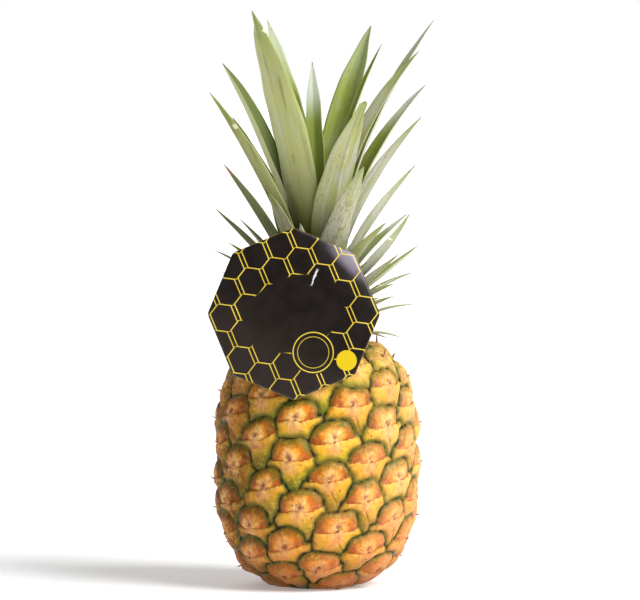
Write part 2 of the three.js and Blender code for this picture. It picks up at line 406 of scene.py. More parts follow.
def make_flecks():
    """Small scattered spots, 0 to 1, with Size millimetres from one to the next."""
    inputs = [PLACE, ("Size", "NodeSocketFloat", 3.0), ("Share", "NodeSocketFloat", 0.2)]
    group, g, given, result = new_group("flecks", inputs, "Spot")
    scale = g.maths("DIVIDE", 1.0, given["Size"])
    spot = g.between(g.cells(given["Place"], scale), 0.30, 0.12)
    here = g.noise(given["Place"], g.times(scale, 0.35), 2.0, 0.5)
    edge = g.minus(0.75, g.times(given["Share"], 0.4))
    some = g.between(here, edge, g.plus(edge, 0.08))
    g.feed(g.times(spot, some), result)
    return group


FIBRES = make_fibres()
MOTTLE = make_mottle()
FLECKS = make_flecks()
print("shared effects:", [g.name for g in (FIBRES, MOTTLE, FLECKS)])

# %% [markdown]
# ## Floor
#
# The floor is a matt white board, far wider than the view, with a faint unevenness like that of paper.

# %% Floor
def make_floor():
    """A round white board under the part, on the stage and not part of the object."""
    material, g, shader = new_material("white board")
    patch = g.use(MOTTLE, Place=g.place_mm(), Size=60.0)
    g.feed(g.mix(patch, tone(0.965, 0.965, 0.965), tone(0.975, 0.975, 0.975)), shader.inputs["Base Color"])
    g.feed(g.mix(patch, tone(1, 1, 1), tone(0.98, 0.98, 0.98)), shader.inputs["Emission Color"])
    shader.inputs["Emission Strength"].default_value = TABLE_GLOW
    shader.inputs["Roughness"].default_value = 0.9
    shader.inputs["Specular IOR Level"].default_value = 0.1
    turn = np.linspace(0, 2 * np.pi, FLOOR_SIDES, endpoint=False)
    rim = np.stack([np.cos(turn), np.sin(turn), 0 * turn], axis=1) * FLOOR_RADIUS
    mesh = bpy.data.meshes.new("floor")
    mesh.from_pydata(rim.tolist(), [], [list(range(FLOOR_SIDES))])
    mesh.materials.append(material)
    floor = bpy.data.objects.new("floor", mesh)
    bpy.context.scene.collection.objects.link(floor)
    floor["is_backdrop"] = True


make_floor()
print("floor", 2 * FLOOR_RADIUS, "m across")

# %% [markdown]
# ## The fruit's eyes
#
# A pineapple is about a hundred small fruits grown together in a spiral. Each one, an eye, is a dome
# with a leathery bract under it, and both meet at a pinched point where the flower was. The bract's
# upper edge laps over the dome, and its lower end runs down between the two domes below. This cell
# draws the barrel, puts the eyes on it in their spiral, and finds for each point of the skin which eye
# it belongs to and how far it is from the furrows. Pieces that grow would be sculpted by hand
# otherwise; here the spiral's rule does it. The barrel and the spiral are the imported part's. SPIRAL and
# ROW_SLIP, how far each of the eight rows has slipped round and up in mm, weren't chosen by hand: a
# least-squares program fitted them to the places of twenty eyes, and they were rounded afterwards.

# %% The fruit's eyes
BARREL = {"radius": 60.4, "widest": 70.0, "top": 147.0, "lower": (72.5, 2.5), "upper": (79.0, 3.2)}
SPIRAL = {"cell": 584.0, "divergence": np.radians(137.71), "first_turn": np.radians(210.3), "first": 1.05}
ROW_SLIP = [(0, 0), (-1.5, 1.5), (-2.5, -2.5), (-2, 5), (6, -2), (0, 0), (1, 1.5), (-1, 0.5)]
DOME = {"half_width": 12.9, "height": 13.3}
BRACT = {"half_width": 16.7, "drop": 17.5}
AROUND = 460
RINGS = 204
PROFILE_STEPS = 2000
FINE_STEPS = 4000


def barrel_radius(height):
    """Two halves of different roundness, which meet at the widest height."""
    reach = np.where(height < BARREL["widest"], BARREL["lower"][0], BARREL["upper"][0])
    power = np.where(height < BARREL["widest"], BARREL["lower"][1], BARREL["upper"][1])
    return BARREL["radius"] * (1 - (np.abs(height - BARREL["widest"]) / reach) ** power) ** (1 / power)


def barrel_side(steps):
    """Radius, height and length from the flat spot's edge, at equal steps up the side."""
    height = BARREL["top"] * (1 - np.cos(np.linspace(0, np.pi, PROFILE_STEPS))) / 2
    radius = barrel_radius(height)
    length = np.concatenate([[0], np.cumsum(np.hypot(np.diff(radius), np.diff(height)))])
    even = np.linspace(0, length[-1], steps)
    return np.interp(even, length, radius), np.interp(even, length, height), even


def place_eyes():
    """Turn, length up the side and radius of each eye: one spiral, the same area of skin for each."""
    radius, _, length = barrel_side(FINE_STEPS)
    covered = np.concatenate([[0], np.cumsum(2 * np.pi * radius[1:] * np.diff(length))])
    count = int(covered[-1] / SPIRAL["cell"] - SPIRAL["first"]) + 1
    order = np.arange(count)
    up = np.interp((order + SPIRAL["first"]) * SPIRAL["cell"], covered, length)
    slip = np.array(ROW_SLIP)[order % len(ROW_SLIP)]
    turn = SPIRAL["first_turn"] - order * SPIRAL["divergence"] + slip[:, 0] / BARREL["radius"]
    return turn, up + slip[:, 1], np.interp(up, length, radius)


def crease_height(x):
    """The line between dome and bract, seen from outside: it sags a little and rises to the right."""
    return 0.13 * x + 0.0095 * x * x


def own_eye(turn, length, radius, eyes):
    """For each point: its eye, whether it is dome, and its place from the eye's centre, right and up."""
    shape = np.broadcast(turn, length).shape
    best = {key: np.full(shape, np.inf) for key in ("dome", "bract", "any")}
    owner = {key: np.zeros(shape, int) for key in best}
    place = {key: np.zeros((*shape, 2)) for key in best}
    sway = 0.65 * ripple(3, turn, length, 24) + 0.3 * ripple(6, turn, length, 60)
    lift = 0.65 * ripple(4, turn, length, 24) + 0.3 * ripple(7, turn, length, 60)
    shapes = np.random.default_rng(5)
    for number, (eye_turn, eye_length, eye_radius) in enumerate(zip(*eyes)):
        wide, tall = shapes.uniform(0.95, 1.06), shapes.uniform(0.93, 1.07)
        power, tilt = shapes.uniform(1.9, 3.0), shapes.uniform(-0.06, 0.08)
        x = np.angle(np.exp(1j * (turn - eye_turn))) * (radius + eye_radius) / 2 + sway
        y = length - eye_length + lift
        rise = y - crease_height(x) - tilt * x
        across = np.abs(x) / (DOME["half_width"] * wide)
        dome = (across**power + np.maximum(rise / (DOME["height"] * tall), 0) ** power) ** (1 / power)
        gauge = {
            "dome": np.where(rise >= 0, dome, np.inf),
            "bract": np.where(rise < 0.8, np.hypot(x / BRACT["half_width"], rise / BRACT["drop"]), np.inf),
            "any": np.hypot(x, y),
        }
        for key in best:
            nearer = gauge[key] < best[key]
            best[key][nearer] = gauge[key][nearer]
            owner[key][nearer] = number
            place[key][nearer] = np.stack([x, rise], axis=-1)[nearer]
    is_dome = best["dome"] < 1
    nobody = np.isinf(best["bract"])
    eye = np.where(is_dome, owner["dome"], np.where(nobody, owner["any"], owner["bract"]))
    where_dome = np.where(is_dome[..., None], place["dome"], place["bract"])
    return eye, is_dome, np.where((nobody & ~is_dome)[..., None], place["any"], where_dome)


def border_points(points, differs_around, differs_up):
    """Points halfway between neighbours on the grid that differ."""
    around = (points + np.roll(points, -1, axis=1))[differs_around] / 2
    up = (points[:-1] + points[1:])[differs_up] / 2
    return np.concatenate([around, up])


def distance_to(borders, points):
    """Distance from each point to the nearest border point, smoothed a little."""
    tree = KDTree(len(borders))
    for number, point in enumerate(borders):
        tree.insert(point, number)
    tree.balance()
    flat = points.reshape(-1, 3)
    found = np.array([tree.find(point)[2] for point in flat]).reshape(points.shape[:-1])
    inner = np.pad(found, ((1, 1), (0, 0)), mode="edge")
    soft = (inner[:-2] + 2 * inner[1:-1] + inner[2:]) / 4
    return (np.roll(soft, 1, axis=1) + 2 * soft + np.roll(soft, -1, axis=1)) / 4


def survey_skin():
    """Everything the skin's shape and finish need, on the grid of the fruit's side."""
    radius, height, length = barrel_side(2 * RINGS - 1)
    turn = np.arange(2 * AROUND) * np.pi / AROUND
    eyes = place_eyes()
    eye, is_dome, place = own_eye(turn[None, :], length[:, None], radius[:, None], eyes)
    points = np.stack([radius[:, None] * np.cos(turn), radius[:, None] * np.sin(turn)], axis=-1)
    points = np.concatenate([points, np.broadcast_to(height[:, None, None], (*eye.shape, 1))], axis=-1)
    other_around, other_up = eye != np.roll(eye, -1, axis=1), eye[:-1] != eye[1:]
    part_around, part_up = is_dome != np.roll(is_dome, -1, axis=1), is_dome[:-1] != is_dome[1:]
    furrows = border_points(points, other_around, other_up)
    creases = border_points(points, part_around & ~other_around, part_up & ~other_up)
    coarse = points[::2, ::2]
    skin = {"eye": eye[::2, ::2], "dome": is_dome[::2, ::2], "eyes": eyes}
    skin.update(x=place[::2, ::2, 0], rise=place[::2, ::2, 1], turn=turn[::2], length=length[::2])
    skin["furrow"] = distance_to(furrows, coarse)
    skin["crease"] = distance_to(creases, coarse) * np.where(skin["dome"], 1, -1)
    return skin


SKIN = survey_skin()
print(len(SKIN["eyes"][0]), "eyes; furthest from a furrow", round(SKIN["furrow"].max(), 1), "mm")

# %% [markdown]
# ## The fruit's relief
#
# The dome swells quickly out of the furrow and drops again just above the crease, where the bract laps
# over it. A pucker with fine folds round it marks the flower. The bract is gently keeled, and a thin
# line runs down it to its tip.

# %% The fruit's relief
PUCKER_RISE = 3.2
KEEL_TOP = np.array([0.6, -4.5])
KEEL_END = np.array([6.0, -16.5])
END_FADE = 9.0
SOCKET_RADIUS = 12.8
SOCKET_TOP = 9.3


def keel_distance(x, rise):
    """Signed distance, right positive, from the line down the bract."""
    run = KEEL_END - KEEL_TOP
    reach = np.hypot(*run)
    along = np.clip(((x - KEEL_TOP[0]) * run[0] + (rise - KEEL_TOP[1]) * run[1]) / reach**2, 0, 1)
    gap_x, gap_y = x - KEEL_TOP[0] - along * run[0], rise - KEEL_TOP[1] - along * run[1]
    return np.hypot(gap_x, gap_y) * np.sign(gap_x + 1e-9)


def skin_relief(skin, seeds):
    """How far each point of the skin stands out of the barrel."""
    x, rise, furrow, crease = skin["x"], skin["rise"], skin["furrow"], skin["crease"]
    own = seeds[skin["eye"]]
    swell = 1 - (1 - np.clip(furrow / 4.4, 0, 1)) ** 2.2
    height = -1.7 + 2.1 * swell + 1.1 * np.clip(furrow / 9, 0, 1)
    dome_side = smoothstep(-0.35, 0.35, crease)
    height -= dome_side * (1.0 * np.exp(-np.abs(crease) / 1.5)) * smoothstep(0, 2, furrow)
    height += (1 - dome_side) * 0.45 * np.exp(-np.abs(crease) / 2.2) * smoothstep(0, 2, furrow)
    from_pucker = np.hypot(x - (own - 0.5) * 2, rise - PUCKER_RISE)
    angle = np.arctan2(rise - PUCKER_RISE, x)
    pucker = 0.45 * np.exp(-(((from_pucker - 3.2) / 1.6) ** 2)) - 0.9 * np.exp(-((from_pucker / 1.5) ** 2))
    height += dome_side * pucker
    folds = np.sin(angle * 7 + own * 20) + 0.6 * np.sin(angle * 13 + own * 50)
    height += 0.16 * folds * smoothstep(1, 3, from_pucker) * np.exp(-from_pucker / 6)
    ridge = np.exp(-((x / 1.4) ** 2)) * smoothstep(-7, -2, rise) * smoothstep(3.5, 1.5, rise)
    height += 0.55 * ridge
    keel = keel_distance(x, rise)
    bract = 1 - dome_side
    height -= bract * 0.45 * np.exp(-((keel / 0.7) ** 2))
    height += bract * 0.35 * np.clip(1 - np.abs(keel) / 6, 0, 1)
    height -= bract * 0.8 * smoothstep(2, 14, -rise)
    height += 0.22 * ripple(8, skin["turn"][None, :], skin["length"][:, None], 30)
    full = skin["length"][-1]
    ends = smoothstep(0, END_FADE, np.minimum(skin["length"], full - skin["length"]))
    return height * ends[:, None]


def make_fruit(material):
    """The skin with its relief, closed by the socket for the stalk below and a flat top."""
    seeds = np.random.default_rng(11).uniform(size=len(SKIN["eyes"][0]))
    relief = skin_relief(SKIN, seeds)
    radius, height, _ = barrel_side(RINGS)
    slope = np.arctan2(np.gradient(radius), np.gradient(height))
    new_radius = radius[:, None] + relief * np.cos(slope)[:, None]
    new_height = np.maximum(height[:, None] - relief * np.sin(slope)[:, None], 0)
    turn = SKIN["turn"]
    side = np.stack([new_radius * np.cos(turn), new_radius * np.sin(turn), new_height], axis=-1)

    def flat_ring(ring_radius, ring_height):
        """A level ring of points, as one row of the mesh."""
        level = np.full(AROUND, ring_height)
        return np.stack([ring_radius * np.cos(turn), ring_radius * np.sin(turn), level], axis=-1)[None]

    socket = [flat_ring(0.4, SOCKET_TOP), flat_ring(SOCKET_RADIUS, SOCKET_TOP), flat_ring(SOCKET_RADIUS, 0.0)]
    top = [flat_ring(share * radius[-1], BARREL["top"]) for share in (0.85, 0.6, 0.02)]
    points = np.concatenate(socket + [side] + top)

    def padded(field, fill):
        """Values of the side, with a fill for the rows below and above it."""
        before = np.full((len(socket), AROUND), fill)
        after = np.full((len(top), AROUND), fill)
        return np.concatenate([before, field, after])

    values = {
        "furrow": padded(SKIN["furrow"], 0.3),
        "crease": padded(SKIN["crease"], -3.0),
        "keel": padded(keel_distance(SKIN["x"], SKIN["rise"]), 9.0),
    }
    own = padded(seeds[SKIN["eye"]], 0.5)
    eye = np.stack([padded(SKIN["x"], 0.0), padded(SKIN["rise"], -9.0), own], axis=-1)
    faces = ring_faces(len(points), AROUND)
    fruit = make_piece("fruit_skin", points.reshape(-1, 3), faces, material, values, {"eye": eye})
    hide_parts("fruit")
    print("fruit:", len(faces), "faces, relief", relief.min().round(2), "to", relief.max().round(2), "mm")


# %% [markdown]
# ## The skin's finish
#
# Ripe skin is orange on the dome, paler and pinker round the pucker, and keeps a green rim where the
# dome meets the furrow. Low in each dome's corners it goes brown-red with painted shade, and just above
# the crease a painted shadow lies where the bract laps over the dome. The bract is a cleaner yellow that
# turns green towards its tip. Furrows are dark olive. The whole fruit is greener at the shoulder and
# redder at the foot. Painted light makes its right side paler, and painted shade makes its left side
# browner and its very bottom darker. Each zone is a mask made from the distances found above, with its
# edge broken by mottle.

# %% The skin's finish
def make_skin():
    """Dome and bract are coloured apart, then what goes over both: painted light and shade on the sides,
    foot, shoulder and furrow.
    """
    material, g, shader = new_material("pineapple skin")
    place = g.place_mm()
    height = g.split(place)[2]
    furrow, crease, keel = g.value("furrow"), g.value("crease"), g.maths("ABSOLUTE", g.value("keel"))
    x, rise, own = g.split(g.vector("eye"))
    patch = g.use(MOTTLE, Place=place, Size=5.0)
    broad = g.use(MOTTLE, Place=place, Size=16.0)
    ragged = g.times(g.minus(patch, 0.5), 2.4)

    up = g.minus(rise, PUCKER_RISE)
    from_pucker = g.maths("SQRT", g.plus(g.times(x, x), g.times(up, up)))
    angle = g.maths("ARCTAN2", up, x)
    spokes = g.noise(g.join(g.times(angle, 1.6), g.times(from_pucker, 0.05), own), 2.2, 2.0, 0.6)
    spoke = g.times(g.between(spokes, 0.35, 0.65), g.between(from_pucker, 8.0, 3.0))

    wander = g.plus(from_pucker, ragged)
    dome = g.ramp(
        g.maths("DIVIDE", wander, 13.0),
        (0.08, tone(0.84, 0.52, 0.36)),
        (0.22, tone(0.95, 0.70, 0.30)),
        (0.48, tone(0.94, 0.58, 0.11)),
        (0.90, tone(0.78, 0.37, 0.09)),
    )
    dome = g.mix(g.times(spoke, 0.8), dome, tone(1.0, 0.83, 0.56))
    drift = g.noise(place, 0.22, 3.0, 0.6)
    dome = g.mix(g.between(drift, 0.52, 0.64, 0.0, 0.4), dome, tone(0.70, 0.36, 0.09))
    green = g.times(g.between(height, 20.0, 130.0, 0.85, 1.0), g.between(drift, 0.40, 0.58, 1.0, 0.65))
    rim = g.between(g.plus(furrow, ragged), 5.8, 2.4)
    rim = g.times(g.times(rim, g.between(rise, 1.0, 6.0)), green)
    dome = g.mix(rim, dome, g.mix(broad, tone(0.30, 0.37, 0.10), tone(0.47, 0.48, 0.17)))
    aside = g.maths("ABSOLUTE", x)
    # Painted shade: brown-red low in the dome's corners, above the crease and beside the furrow.
    corner = g.times(g.between(g.plus(aside, ragged), 4.6, 8.6), g.between(rise, 9.0, 2.0))
    corner = g.times(corner, g.between(own, 0.1, 0.8, 0.55, 1.0))
    dome = g.mix(corner, dome, g.mix(patch, tone(0.45, 0.20, 0.07), tone(0.68, 0.35, 0.14)))
    # Painted shadow: darker just above the crease, under the bract's lapping edge.
    crease_shadow = g.times(g.between(crease, 1.6, 0.2), g.between(aside, 1.0, 3.5, 0.15, 0.9))
    crease_shadow = g.times(crease_shadow, g.between(aside, 5.0, 11.0, 1.0, 0.6))
    dome = g.mix(g.times(crease_shadow, g.between(patch, 0.0, 1.0, 1.0, 0.6)), dome, tone(0.58, 0.25, 0.09))

    down = g.minus(g.times(ragged, 0.8), rise)
    bract = g.ramp(
        g.maths("DIVIDE", down, 17.0),
        (0.0, tone(0.95, 0.73, 0.25)),
        (0.28, tone(0.92, 0.67, 0.12)),
        (0.55, tone(0.74, 0.63, 0.12)),
        (0.85, tone(0.42, 0.45, 0.09)),
    )
    centre = g.times(g.between(g.plus(aside, ragged), 6.5, 1.5), g.between(down, 11.0, 2.0))
    bract = g.mix(g.times(centre, 0.85), bract, g.mix(patch, tone(0.88, 0.56, 0.36), tone(0.97, 0.74, 0.50)))
    veins = g.times(g.between(spokes, 0.42, 0.62), g.between(from_pucker, 14.0, 5.0))
    bract = g.mix(g.times(veins, 0.5), bract, tone(0.98, 0.79, 0.46))
    edge = g.times(g.between(g.plus(furrow, ragged), 4.2, 1.0), green)
    edge = g.times(edge, g.between(rise, -2.0, -7.0, 0.45, 0.9))
    bract = g.mix(edge, bract, g.mix(broad, tone(0.40, 0.45, 0.12), tone(0.56, 0.54, 0.15)))
    line = g.times(g.between(keel, 0.8, 0.2), g.between(rise, -3.5, -7.0))
    line = g.times(line, g.between(own, 0.25, 0.55))
    bract = g.mix(g.times(line, 0.8), bract, tone(0.40, 0.27, 0.10))

    colour = g.mix(g.between(crease, -0.2, 0.2), bract, dome)
    # Painted light: the right side, towards the key lamp, paler and pinker.
    painted_light_right = g.times(g.between(g.split(place)[0], 12.0, 58.0), g.between(patch, 0.0, 1.0, 0.12, 0.42))
    colour = g.mix(painted_light_right, colour, tone(1.0, 0.76, 0.54))
    ripe = g.times(g.between(height, 75.0, 8.0), g.between(broad, 0.2, 0.8, 0.15, 0.5))
    colour = g.mix(ripe, colour, g.mix(broad, tone(0.82, 0.36, 0.12), tone(0.92, 0.56, 0.40)))
    # Painted shade: the left side, away from the key lamp, darker and browner, most in each dome's outer
    # part.
    painted_shade_left = g.times(g.between(g.split(place)[0], -8.0, -54.0), g.between(drift, 0.38, 0.62, 0.55, 1.0))
    painted_shade_left = g.times(painted_shade_left, g.between(wander, 2.0, 9.0, 0.3, 0.95))
    colour = g.mix(painted_shade_left, colour, g.mix(patch, tone(0.28, 0.17, 0.03), tone(0.52, 0.26, 0.05)))
    unripe = g.times(g.between(height, 112.0, 146.0), 0.55)
    colour = g.mix(unripe, colour, g.mix(patch, tone(0.50, 0.52, 0.22), tone(0.80, 0.71, 0.38)))
    colour = g.mix(g.times(g.between(own, 0.3, 1.0), 0.25), colour, tone(0.76, 0.40, 0.13))
    fine = g.noise(place, 0.38, 3.0, 0.6)
    colour = g.mix(g.between(fine, 0.32, 0.46, 0.35, 0.0), colour, tone(0.58, 0.31, 0.07))
    colour = g.mix(g.between(fine, 0.54, 0.72, 0.0, 0.30), colour, tone(1.0, 0.82, 0.42))
    spots = g.use(FLECKS, Place=place, Size=3.2, Share=0.5)
    colour = g.mix(g.times(spots, 0.75), colour, tone(0.50, 0.24, 0.13))
    pinch = g.between(from_pucker, 1.7, 0.6)
    colour = g.mix(g.times(pinch, 0.55), colour, tone(0.55, 0.30, 0.24))
    # Painted shade: darker and browner towards the very bottom, where the fruit stands on the table.
    foot = g.between(height, 30.0, 0.0, 0.0, 0.75)
    colour = g.mix(foot, colour, g.mix(broad, tone(0.36, 0.22, 0.06), tone(0.60, 0.32, 0.10)))
    uneven = g.plus(furrow, g.times(ragged, 0.22))
    fringe_tone = g.mix(broad, tone(0.27, 0.34, 0.09), tone(0.46, 0.40, 0.12))
    colour = g.mix(g.between(uneven, 2.2, 0.5, 0.0, 0.85), colour, fringe_tone)
    furrow_tone = g.mix(broad, tone(0.11, 0.15, 0.03), tone(0.24, 0.16, 0.05))
    colour = g.mix(g.between(uneven, 0.80, 0.35), colour, furrow_tone)
    g.feed(colour, shader.inputs["Base Color"])

    g.feed(g.between(patch, 0.0, 1.0, 0.40, 0.56), shader.inputs["Roughness"])
    shader.inputs["Specular IOR Level"].default_value = 0.18
    grain = g.noise(place, 1.6, 4.0, 0.65)
    lumps = g.times(g.noise(place, 0.3, 2.0, 0.5), 3.0)
    relief = g.plus(g.times(spoke, 0.6), g.plus(lumps, g.times(grain, 0.5)))
    g.feed(g.bump(relief, 0.6, 0.5), shader.inputs["Normal"])
    return material


make_fruit(make_skin())

# %% [markdown]
# ## The shape of the leaves
#
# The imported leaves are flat-faceted blades. Each is measured with planes cut square to the line from its
# base to its tip: where its middle lies, how wide it is, which way its width points and how deep its
# channel is. Smooth curves through those measures give a blade with the same stance, which is then
# built finely: thick along the middle, thin at the margins, with a sharp or a withered tip. One leaf is
# also twisted a little towards its tip, and two have a notch or a blunt end.

# %% The shape of the leaves
CUTS = 18
STATIONS = 46
LANES = 15


def blade_ends(points):
    """Middle of the base and of the tip: the base is the end nearer the crown's axis."""
    centred = points - points.mean(0)
    along = centred @ np.linalg.svd(centred, full_matrices=False)[2][0]
    low, high = points[along < along.min() + 2].mean(0), points[along > along.max() - 2].mean(0)
    return (low, high) if np.hypot(*low[:2]) < np.hypot(*high[:2]) else (high, low)


def measure_blade(name):
    """Smooth curves of a packed blade's middle, width, heading and channel along its length."""
    points = node_points(name)
    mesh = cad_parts[name].data
    edges = np.zeros(len(mesh.edges) * 2, int)
    mesh.edges.foreach_get("vertices", edges)
    start, end = points[edges[::2]], points[edges[1::2]]
    base, tip = blade_ends(points)
    chord = unit(tip - base)
    outward = unit(np.array([tip[0] - base[0], tip[1] - base[1], 0.0]))
    inner = unit(np.array([0, 0, 1.0]) * (chord @ outward) - outward * chord[2])
    across = np.cross(chord, inner)
    length = (tip - base) @ chord
    shares = np.linspace(0.04, 0.97, CUTS)
    found = []
    for share in shares:
        before, after = (start - base) @ chord - share * length, (end - base) @ chord - share * length
        cut = before * after < 0
        where = (before[cut] / (before[cut] - after[cut]))[:, None]
        crossing = start[cut] + where * (end[cut] - start[cut]) - base
        side, lift = crossing @ across, crossing @ inner
        middle, half = (side.max() + side.min()) / 2, (side.max() - side.min()) / 2
        bend, slope, level = np.polyfit(side - middle, lift, 2)
        found.append((middle, level, np.arctan(slope), bend * half, half))
    found = np.array(found).T
    steps = np.linspace(0, 1, STATIONS)
    middle, level, heading, channel = (np.polyval(np.polyfit(shares, row, 5), steps) for row in found[:4])
    half = np.interp(steps, shares, found[4])
    half = np.convolve(np.pad(half, 2, mode="edge"), np.array([1, 2, 3, 2, 1]) / 9, mode="valid")
    line = base + np.outer(steps * length, chord) + np.outer(middle, across) + np.outer(level, inner)
    lateral = unit(np.outer(np.cos(heading), across) + np.outer(np.sin(heading), inner))
    channel = np.clip(channel, 0, 0.8)
    return {"line": line, "lateral": lateral, "half": half, "channel": channel, "length": length}


def blade_points(shape, look, rng):
    """Rings of points round the blade's cross-section, from base to tip, and their places on the blade."""
    steps = np.linspace(0, 1, STATIONS) ** 0.92
    grid = np.linspace(0, 1, STATIONS)
    line = np.stack([np.interp(steps, grid, shape["line"][:, k]) for k in range(3)], axis=1)
    lateral = unit(np.stack([np.interp(steps, grid, shape["lateral"][:, k]) for k in range(3)], axis=1))
    half, channel = np.interp(steps, grid, shape["half"]), np.interp(steps, grid, shape["channel"])
    half = np.maximum(half, look["blunt"]) * np.clip((1 - steps) / look["taper"], 0.02, 1) ** 0.6
    forward = unit(np.gradient(line, axis=0))
    twist = (np.radians(look["twist"]) * smoothstep(0.45, 0.8, steps))[:, None]
    lateral = unit(lateral * np.cos(twist) + np.cross(forward, lateral) * np.sin(twist))
    normal = unit(np.cross(lateral, forward))
    inward = -line * np.array([1, 1, 0])
    normal *= np.sign(np.sum(normal * (inward + np.array([0, 0, 30])), axis=1)).reshape(-1, 1)
    side = np.linspace(-1, 1, LANES)
    phase = rng.uniform(0, 6.28, 4)
    length = shape["length"]
    wave = 0.25 * np.sin(steps * length / 9 + phase[0]) + 0.2 * np.sin(steps * length / 4.3 + phase[1])
    other = 0.25 * np.sin(steps * length / 8 + phase[2]) + 0.2 * np.sin(steps * length / 5.1 + phase[3])
    torn = 1 - look["notch"] * smoothstep(look["scar"] - 0.004, look["scar"] + 0.012, steps)
    reach_right = half * torn + wave * smoothstep(0, 3, half)
    reach_left = half + other * smoothstep(0, 3, half)
    reach = np.where(side > 0, reach_right[:, None], reach_left[:, None]) * side
    depth = channel[:, None] * half[:, None] * np.abs(side) ** 1.4
    thick = np.interp(steps, [0, 0.3, 1], [1.7, 1.3, 0.45])[:, None] * np.minimum(1, half / 2.5)[:, None]
    body = thick * np.sqrt(np.clip(1 - (side * 0.985) ** 2, 0, 1)) / 2
    rib = 0.07 * np.sin(side * half.max() * 3.1) * smoothstep(0, 0.3, 1 - np.abs(side))
    rings, places, faces, sides = [], [], [], []
    for sign, order in ((-1, side), (1, side[::-1])):
        flip = slice(None) if sign < 0 else slice(None, None, -1)
        lift = (depth + sign * (body + 0.05) + rib)[:, flip]
        run = reach[:, flip]
        rings.append(line[:, None] + lateral[:, None] * run[..., None] + normal[:, None] * lift[..., None])
        along = np.broadcast_to(steps[:, None] * length, run.shape)
        places.append(np.stack([run, along], axis=-1))
        faces.append(np.broadcast_to(-sign, run.shape))
        sides.append(np.broadcast_to(order, run.shape))
    joined = [np.concatenate(halves, axis=1) for halves in (rings, places, faces, sides)]
    return (*joined, steps)


# %% [markdown]
# ## How the leaves differ
#
# Leaves low on the crown are dry and grey with bloom, tall ones are smooth and green, and a few carry
# their own marks: a scorched tip, a scuffed back, a white scar where the blade was bent. Most leaves
# take their look from where they stand; the ones listed here by number have something more. flank says
# which flank of a folded blade gets painted shade and which painted light, and how much.

# %% How the leaves differ
PLAIN_LEAF = {
    "pale_tip": 0.0, "taper": 0.05, "blunt": 0.0, "scar": -1.0, "notch": 0.0, "flank": 0.0, "twist": 0.0,
}
LEAF_MARKS = {
    50: dict(bloom=0.35, warm=1.0, scuff=0.5, scar=0.915, notch=0.45, flank=-0.4),
    52: dict(bloom=0.35, warm=0.8, pale_tip=0.5),
    48: dict(bloom=0.2, warm=0.9, dry=0.004, flank=1.0),
    45: dict(bloom=0.2, warm=0.5, dark=0.15, scar=0.80, dry=0.004, scuff=0.5),
    36: dict(bloom=0.3, warm=0.2, dry=0.09, dark=0.8, scuff=0.4),
    22: dict(bloom=0.25, warm=0.2, dark=0.8),
    30: dict(bloom=0.2, warm=0.2, dark=0.9),
    31: dict(dark=0.6),
    54: dict(bloom=0.1, warm=0.35, dark=0.12, pale_tip=0.9, dry=0.0),
    51: dict(bloom=0.55, warm=1.0, dark=0.0, dry=0.004, pale_tip=0.25, flank=-0.15),
    53: dict(bloom=0.4, warm=0.8),
    46: dict(bloom=0.6, warm=0.8, scuff=0.75, dry=0.012, blunt=3.2, taper=0.02, flank=-0.35),
    49: dict(bloom=0.7, warm=0.8, scuff=0.9, dark=0.15, flank=0.7),
    47: dict(bloom=0.9, warm=1.0, dry=0.004, pale_tip=0.6, twist=8),
    44: dict(bloom=0.3, warm=0.6, dark=0.1, pale_tip=0.9),
    43: dict(bloom=1.0, warm=0.4, scuff=0.6),
    38: dict(bloom=1.0, warm=0.4, scuff=0.6),
    39: dict(bloom=0.85, warm=0.7, scuff=1.0, dry=0.004),
    34: dict(bloom=0.5, warm=0.9, scuff=0.6),
    32: dict(bloom=0.95, warm=0.4, scar=0.72),
    33: dict(bloom=0.8, pale_tip=0.9),
    26: dict(bloom=0.6, warm=0.6, dry=0.07),
    17: dict(bloom=0.7, scar=0.6),
    18: dict(bloom=0.6, warm=0.6, scar=0.6),
    9: dict(bloom=0.7, dry=0.07),
    37: dict(bloom=0.8, warm=0.3, scuff=1.0, dark=0.45),
    35: dict(bloom=0.7, warm=0.9, scar=0.93, pale_tip=0.9),
}


def leaf_look(name, line, rng):
    """A leaf's look: bloom is strongest low on the crown and to its right, where leaves rubbed less."""
    low = smoothstep(300, 175, line[-1, 2])
    right = smoothstep(-20, 50, line[-1, 0])
    look = dict(PLAIN_LEAF)
    look["bloom"] = 0.2 + 0.35 * low + 0.3 * right + rng.uniform(-0.1, 0.1)
    look["warm"] = rng.uniform(0.25, 0.8)
    look["dark"] = rng.uniform(0, 0.25)
    look["scuff"] = 0.1 + 0.25 * low + rng.uniform(0, 0.15)
    look["dry"] = rng.choice([0.004, 0.008, 0.03])
    look.update(LEAF_MARKS.get(int(name[-2:]), {}))
    return look


def make_leaf(name, material, rng):
    """One blade, with its look stored on its points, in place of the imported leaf."""
    shape = measure_blade(name)
    look = leaf_look(name, shape["line"], rng)
    rings, places, outer, side, steps = blade_points(shape, look, rng)
    seed = rng.uniform(0, 200)
    places = np.concatenate([places, np.full((*places.shape[:2], 1), seed)], axis=-1)
    size = outer.shape
    values = {"along": np.broadcast_to(steps[:, None], size), "outer": outer, "side": side}
    for key in ("bloom", "warm", "dark", "dry", "scuff", "pale_tip", "scar", "flank"):
        values[key] = np.full(size, look[key])
    faces = ring_faces(STATIONS, 2 * LANES)
    points = rings.reshape(-1, 3)
    piece = make_piece(name + "_blade", points, faces, material, values, {"blade": places})
    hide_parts(name)
